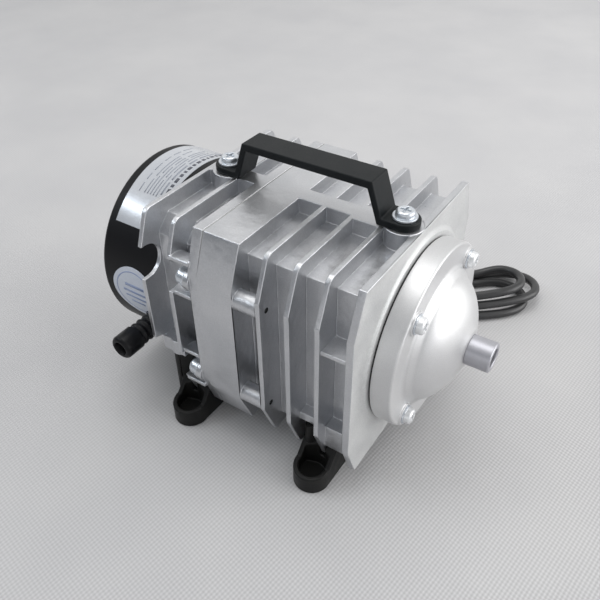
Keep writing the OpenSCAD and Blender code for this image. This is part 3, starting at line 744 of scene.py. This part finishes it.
# Plug along its own x: body with a front rim, grip ridges on its sides, and a ribbed boot round the cord
plug_place = Matrix.Translation(PLUG_AT) @ Matrix.Rotation(PLUG_TURN, 4, "Z")
bm = bmesh.new()
rounded_box(bm, (9, -9, 0.1), (30, 9, 12.9), 3.2, 5)
rounded_box(bm, (29, -8.6, 0.7), (32, 8.6, 12.3), 1.1)
for x in (13, 16.5, 20, 23.5):
    for side in (-1, 1):
        grip = side * 9.2
        rounded_box(bm, (x, grip - 0.6, 2.6), (x + 1.7, grip + 0.6, 10.4), 0.5, 2)
for k in range(4):
    x = 0.3 + k * 2.4
    half = 3.1 + k * 0.55
    low = max(0.1, 4.1 - half * 0.95)
    rounded_box(bm, (x, -half, low), (x + 1.7, half, 4.1 + half * 0.95), 0.7)
rounded_box(bm, (0, -2.9, 1.2), (11, 2.9, 6.9), 1.4)
bm.transform(plug_place)
plug = new_piece("plug_body", to_mesh("plug_body", bm))
plug.modifiers.new("normals", "WEIGHTED_NORMAL").keep_sharp = False
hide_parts("mains_plug")
dressed(plug, "cord_black")

bm = bmesh.new()
for side in (-1, 1):
    blade = side * 6.2
    rounded_box(bm, (31, blade - 0.8, 3.3), (48, blade + 0.8, 9.7), 0.35, 2)
bm.transform(plug_place)
pins = new_piece("plug_blades", to_mesh("plug_blades", bm))
pins.modifiers.new("normals", "WEIGHTED_NORMAL").keep_sharp = False
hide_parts("plug_pins")
dressed(pins, "pin_brass")


# ---------------------------------------------------------------- printing on the label and the sticker

FOIL_T, INK_T = 0.25 * MM, 0.05 * MM
ink_r = cap_r + FOIL_T + INK_T


def printed(name, bm, slot, finish):
    """Thin layer of ink on the cap, as a piece of its own."""
    bmesh.ops.recalc_face_normals(bm, faces=bm.faces)
    obj = new_piece(name, to_mesh(name, bm))
    obj.modifiers.new("thick", "SOLIDIFY").thickness = INK_T
    return dressed(obj, slot, "housing", finish)


def bars(name, slot, finish, rows):
    """Printed bars, each between two stations and two angles up from the near side of the cap."""
    bm = bmesh.new()
    for x0, x1, a0, a1 in rows:
        steps = max(2, int(abs(a1 - a0) / 2))
        angles = [math.radians(a0 + (a1 - a0) * i / steps) for i in range(steps + 1)]
        near, far = [
            [bm.verts.new((x * MM, -ink_r * math.cos(a), axis_z + ink_r * math.sin(a))) for a in angles]
            for x in (x0, x1)
        ]
        for i in range(steps):
            bm.faces.new((near[i], near[i + 1], far[i + 1], far[i]))
    return printed(name, bm, slot, finish)


label_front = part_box("rating_label")[1].x / MM


def dashes(inset, width, start, lengths, gap):
    """Row of dashes round the cap, from its distance behind the label's front edge, width and first angle."""
    row = []
    for length in lengths:
        row.append((label_front - inset - width, label_front - inset, start, start + length))
        start += length + gap
    return row


bars(
    "label_print", "label_silver", "label_ink",
    dashes(2.6, 1.9, 62, (3, 2, 3.5, 2.4, 1.6, 3, 2, 3, 2.6, 1.6, 3, 2.2, 3, 2, 3.4, 2.4), 1.5),
)
faint = dashes(6.0, 1.0, 60, (9, 14, 7, 12, 16), 2)
for inset, lengths in (
    (8.6, (16, 10, 18)), (10.6, (11, 20, 12)), (12.6, (22, 9, 15)), (14.6, (13, 17)), (16.6, (10, 21, 8)),
    (20.4, (6, 5, 7, 5, 6, 8)),
):
    faint += dashes(inset, 0.6, 58, lengths, 2.4)
bars("label_lines", "label_silver", "label_faint", faint)

# Printed ring on the sticker, which lies on the cap's curve
RING_R = (13.1, 13.7)
RING_STEPS = 72
centre_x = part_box("round_sticker")[0].x + 16.2 * MM
centre_z = axis_z - 2.8 * MM
bm = bmesh.new()
pairs = []
for k in range(RING_STEPS):
    a = 2 * math.pi * k / RING_STEPS
    places = [(centre_x + r * MM * math.cos(a), centre_z + r * MM * math.sin(a)) for r in RING_R]
    pairs.append([bm.verts.new((x, -math.sqrt(ink_r**2 - (z - axis_z) ** 2), z)) for x, z in places])
for last, pair in zip(pairs, pairs[1:] + pairs[:1]):
    bm.faces.new((last[0], last[1], pair[1], pair[0]))
printed("sticker_ring", bm, "sticker_white", "sticker_ink")
bars(
    "sticker_print", "sticker_white", "sticker_ink",
    [(-86, -72.5, 1, 3), (-88, -70.5, -3.2, -1.6), (-87, -71.5, -7, -5.6), (-84, -74, -10.6, -9.4)],
)


# ---------------------------------------------------------------- floor, lights and world

floor_mesh = bpy.data.meshes.new("floor")
floor_mesh.from_pydata([(-3, -3, 0), (3, -3, 0), (3, 3, 0), (-3, 3, 0)], [], [(0, 1, 2, 3)])
floor = new_piece("floor", floor_mesh)
floor.location.z = -0.02 * MM
floor_mat = bpy.data.materials.new("floor_cloth")
floor_mat.use_nodes = True
tree = floor_mat.node_tree
shader = tree.nodes["Principled BSDF"]
shader.inputs["Roughness"].default_value = 0.75
shader.inputs["Specular IOR Level"].default_value = 0.25
place = texture_place(tree)


def twill(turn, per_metre):
    """Fine ribs of the cloth, turned by an angle in degrees."""
    mapping = tree.nodes.new("ShaderNodeMapping")
    mapping.inputs["Rotation"].default_value[2] = math.radians(turn)
    link(tree, place, mapping.inputs["Vector"])
    wave = tree.nodes.new("ShaderNodeTexWave")
    wave.inputs["Scale"].default_value = per_metre
    wave.inputs["Distortion"].default_value = 0.6
    wave.inputs["Detail"].default_value = 1
    wave.inputs["Detail Scale"].default_value = 0.4
    link(tree, mapping.outputs["Vector"], wave.inputs["Vector"])
    return wave.outputs["Fac"]


weave = tree.nodes.new("ShaderNodeMath")
weave.operation = "MULTIPLY_ADD"
weave.inputs[1].default_value = 0.65
link(tree, twill(-77, 165), weave.inputs[0])
link(tree, twill(8, 174), weave.inputs[2])
clouds = noise_of(tree, place, 9, 3)
base = ramp(tree, clouds, [(0.3, (0.545, 0.541, 0.547)), (0.7, (0.597, 0.591, 0.591))])
# Painted light: the cloth is darker away from the key lamp and brighter towards +x and +y, where the key lamp
# stands
painted_light_toward_key = between(tree, distance_along(tree, place, (0.83, 0.55, 0)), 0, 1, -0.25, 0.35)
shade = mixed(tree, base, ramp(tree, painted_light_toward_key, [(0.0, 0.87), (1.0, 1.0)]), 1.0)
ribs = ramp(tree, between(tree, weave.outputs["Value"], 0, 1, 0, 1.65), [(0.0, 0.66), (1.0, 1.0)])
clearer_ahead = between(tree, distance_along(tree, place, (0.85, -0.5, 0)), 0.25, 0.9, -0.15, 0.25)
link(tree, mixed(tree, shade, ribs, clearer_ahead), shader.inputs["Base Color"])
link(tree, bumped(tree, weave.outputs["Value"], 0.06), shader.inputs["Normal"])
floor_mesh.materials.append(floor_mat)

world = bpy.data.worlds.new("world")
scene.world = world
world.use_nodes = True
tree = world.node_tree
background = tree.nodes["Background"]
direction = tree.nodes.new("ShaderNodeTexCoord").outputs["Generated"]
brightest = Vector((-0.05, 0.62, 0.75)).normalized()
sky = ramp(
    tree, between(tree, distance_along(tree, direction, brightest), 0, 1, -1, 1),
    [(0.2, (0.06, 0.07, 0.09)), (0.48, (0.3, 0.32, 0.35)), (0.76, 0.95), (1.0, 1.0)],
)
link(tree, sky, background.inputs["Color"])
background.inputs["Strength"].default_value = 0.87


def soft_light(name, at, size, power, aim=(0, 0, 0.05), tint=(1, 1, 1)):
    """Rectangular lamp of a size in metres, turned towards the point that it lights."""
    light = bpy.data.lights.new(name, "AREA")
    light.shape = "RECTANGLE"
    light.size, light.size_y = size
    light.energy = power
    light.color = tint
    lamp = bpy.data.objects.new(name, light)
    scene.collection.objects.link(lamp)
    lamp.location = at
    lamp.rotation_mode = "QUATERNION"
    lamp.rotation_quaternion = (Vector(aim) - Vector(at)).to_track_quat("-Z", "Y")


soft_light("key", (1.95, 0.75, 0.74), (2.2, 1.8), 35)
soft_light("top", (-0.25, 0.15, 1.7), (1.0, 1.0), 9)
soft_light("front", (0.3, -1.45, 0.35), (1.5, 0.6), 3.4)
soft_light("low", (1.7, -0.3, 0.3), (1.8, 0.6), 3.4)
soft_light("side", (-1.0, -0.62, 0.95), (0.9, 0.13), 3.2, (-0.085, -0.03, 0.1), (0.86, 0.93, 1.0))
